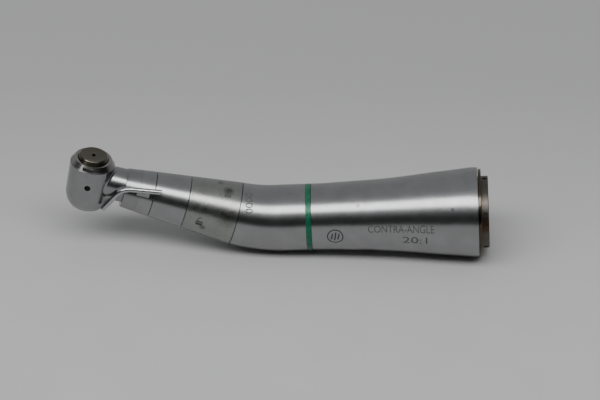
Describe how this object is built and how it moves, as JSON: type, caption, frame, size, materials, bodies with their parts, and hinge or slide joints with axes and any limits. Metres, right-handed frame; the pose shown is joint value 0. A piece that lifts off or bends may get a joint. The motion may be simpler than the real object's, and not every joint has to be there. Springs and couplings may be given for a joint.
{
  "type": "dental contra-angle handpiece",
  "caption": "Slender metal dental handpiece with an angled neck, push-button head, lock ring, coloured ring, outside coolant tube and an open socket for a motor.",
  "frame": {"origin": "centre of the rear face, on the handle axis", "axes": "+X out of the rear along the handle, +Z towards the push button side, head towards -X"},
  "size_m": [0.096, 0.0204, 0.0294],
  "materials": {
    "satin_steel": "satin",
    "polished_steel": "polished",
    "bearing_steel": "ground",
    "gear_steel": "machined",
    "green_anodised": "gloss",
    "light_glass": "clear",
    "bronzed_steel": "stained satin",
    "brass_tinted": "stained",
    "spring_steel": "bright",
    "black_steel": "blackened"
  },
  "bodies": {
    "handpiece": {"handle_shell": "satin_steel", "green_ring": "green_anodised", "waist_shell": "satin_steel", "coupling_sleeve": "satin_steel", "rear_collar": "brass_tinted", "spanner_ring": "brass_tinted", "gear_housing": "satin_steel", "ring_gear_1": "gear_steel", "ring_gear_2": "gear_steel", "ring_spacer": "gear_steel", "input_bearing_outer": "bearing_steel", "output_bearing_outer": "bearing_steel", "neck_core": "satin_steel", "front_housing": "satin_steel", "neck_sheath": "satin_steel", "light_guide": "light_glass", "light_lens": "light_glass", "coolant_tube": "polished_steel", "tube_saddle": "polished_steel", "neck_rear_bearing_outer": "bearing_steel", "neck_front_bearing_outer": "bearing_steel", "head_housing": "satin_steel", "head_cap": "polished_steel", "spring_seat": "spring_steel", "side_screw": "black_steel", "spindle_upper_bearing_outer": "bearing_steel", "spindle_lower_bearing_outer": "bearing_steel", "button_spring": "spring_steel"},
    "input_shaft": {"input_shaft": "gear_steel", "input_bearing_inner": "bearing_steel"},
    "input_balls": {"input_bearing_balls": "bearing_steel"},
    "carrier_1": {"carrier_1": "gear_steel"},
    "planet_1a": {"planet_1a": "gear_steel"},
    "planet_1b": {"planet_1b": "gear_steel"},
    "planet_1c": {"planet_1c": "gear_steel"},
    "carrier_2": {"carrier_2": "gear_steel", "rear_bend_gear": "gear_steel", "output_bearing_inner": "bearing_steel"},
    "planet_2a": {"planet_2a": "gear_steel"},
    "planet_2b": {"planet_2b": "gear_steel"},
    "planet_2c": {"planet_2c": "gear_steel"},
    "output_balls": {"output_bearing_balls": "bearing_steel"},
    "neck_shaft": {"neck_shaft": "gear_steel", "front_bend_gear": "gear_steel", "head_pinion": "gear_steel", "neck_rear_bearing_inner": "bearing_steel", "neck_front_bearing_inner": "bearing_steel"},
    "neck_balls": {"neck_rear_bearing_balls": "bearing_steel", "neck_front_bearing_balls": "bearing_steel"},
    "spindle": {"spindle": "gear_steel", "spindle_gear": "gear_steel", "collet": "gear_steel", "spindle_upper_bearing_inner": "bearing_steel", "spindle_lower_bearing_inner": "bearing_steel"},
    "spindle_balls": {"spindle_upper_bearing_balls": "bearing_steel", "spindle_lower_bearing_balls": "bearing_steel"},
    "lock_ring": {"lock_ring": "satin_steel"},
    "push_button": {"push_button": "bronzed_steel"}
  },
  "joints": [
    {"name": "input_spin", "type": "hinge", "parent": "handpiece", "child": "input_shaft", "pos_m": [-0.02, 0, 0], "axis": [1, 0, 0], "continuous": true},
    {"name": "input_balls_orbit", "type": "hinge", "parent": "handpiece", "child": "input_balls", "pos_m": [-0.021, 0, 0], "axis": [1, 0, 0], "continuous": true},
    {"name": "carrier_1_spin", "type": "hinge", "parent": "handpiece", "child": "carrier_1", "pos_m": [-0.03, 0, 0], "axis": [1, 0, 0], "continuous": true},
    {"name": "planet_1a_spin", "type": "hinge", "parent": "carrier_1", "child": "planet_1a", "pos_m": [-0.0275, 0, 0.003], "axis": [1, 0, 0], "continuous": true},
    {"name": "planet_1b_spin", "type": "hinge", "parent": "carrier_1", "child": "planet_1b", "pos_m": [-0.0275, -0.0026, -0.0015], "axis": [1, 0, 0], "continuous": true},
    {"name": "planet_1c_spin", "type": "hinge", "parent": "carrier_1", "child": "planet_1c", "pos_m": [-0.0275, 0.0026, -0.0015], "axis": [1, 0, 0], "continuous": true},
    {"name": "carrier_2_spin", "type": "hinge", "parent": "handpiece", "child": "carrier_2", "pos_m": [-0.04, 0, 0], "axis": [1, 0, 0], "continuous": true},
    {"name": "planet_2a_spin", "type": "hinge", "parent": "carrier_2", "child": "planet_2a", "pos_m": [-0.0326, 0, 0.003], "axis": [1, 0, 0], "continuous": true},
    {"name": "planet_2b_spin", "type": "hinge", "parent": "carrier_2", "child": "planet_2b", "pos_m": [-0.0326, -0.0026, -0.0015], "axis": [1, 0, 0], "continuous": true},
    {"name": "planet_2c_spin", "type": "hinge", "parent": "carrier_2", "child": "planet_2c", "pos_m": [-0.0326, 0.0026, -0.0015], "axis": [1, 0, 0], "continuous": true},
    {"name": "output_balls_orbit", "type": "hinge", "parent": "handpiece", "child": "output_balls", "pos_m": [-0.041, 0, 0], "axis": [1, 0, 0], "continuous": true},
    {"name": "neck_shaft_spin", "type": "hinge", "parent": "handpiece", "child": "neck_shaft", "pos_m": [-0.07167, 0, 0.00601], "axis": [-0.9537, 0, 0.3007], "continuous": true},
    {"name": "neck_balls_orbit", "type": "hinge", "parent": "handpiece", "child": "neck_balls", "pos_m": [-0.07167, 0, 0.00601], "axis": [-0.9537, 0, 0.3007], "continuous": true},
    {"name": "spindle_spin", "type": "hinge", "parent": "handpiece", "child": "spindle", "pos_m": [-0.09037, 0, 0.01191], "axis": [0.1994, 0, 0.9799], "continuous": true},
    {"name": "spindle_balls_orbit", "type": "hinge", "parent": "handpiece", "child": "spindle_balls", "pos_m": [-0.09037, 0, 0.01191], "axis": [0.1994, 0, 0.9799], "continuous": true},
    {"name": "lock_ring_turn", "type": "hinge", "parent": "handpiece", "child": "lock_ring", "pos_m": [-0.06309, 0, 0.00331], "axis": [-0.9537, 0, 0.3007], "range_deg": [0, 30]},
    {"name": "push_button_press", "type": "slide", "parent": "handpiece", "child": "push_button", "axis": [-0.1994, 0, -0.9799], "range_m": [0, 0.00045], "stiffness_N_per_m": 4000, "springref_m": -0.0012, "deforming": ["button_spring"]}
  ],
  "couplings": [
    {"joint": "input_balls_orbit", "follows": "input_spin", "ratio": 0.4},
    {"joint": "carrier_1_spin", "follows": "input_spin", "ratio": 0.25},
    {"joint": "carrier_2_spin", "follows": "input_spin", "ratio": 0.0625},
    {"joint": "output_balls_orbit", "follows": "input_spin", "ratio": 0.025},
    {"joint": "neck_shaft_spin", "follows": "input_spin", "ratio": -0.0625},
    {"joint": "neck_balls_orbit", "follows": "input_spin", "ratio": -0.025},
    {"joint": "spindle_spin", "follows": "input_spin", "ratio": -0.05},
    {"joint": "spindle_balls_orbit", "follows": "input_spin", "ratio": -0.02},
    {"joint": "planet_1a_spin", "follows": "input_spin", "ratio": -0.75},
    {"joint": "planet_2a_spin", "follows": "input_spin", "ratio": -0.1875},
    {"joint": "planet_1b_spin", "follows": "input_spin", "ratio": -0.75},
    {"joint": "planet_2b_spin", "follows": "input_spin", "ratio": -0.1875},
    {"joint": "planet_1c_spin", "follows": "input_spin", "ratio": -0.75},
    {"joint": "planet_2c_spin", "follows": "input_spin", "ratio": -0.1875}
  ]
}
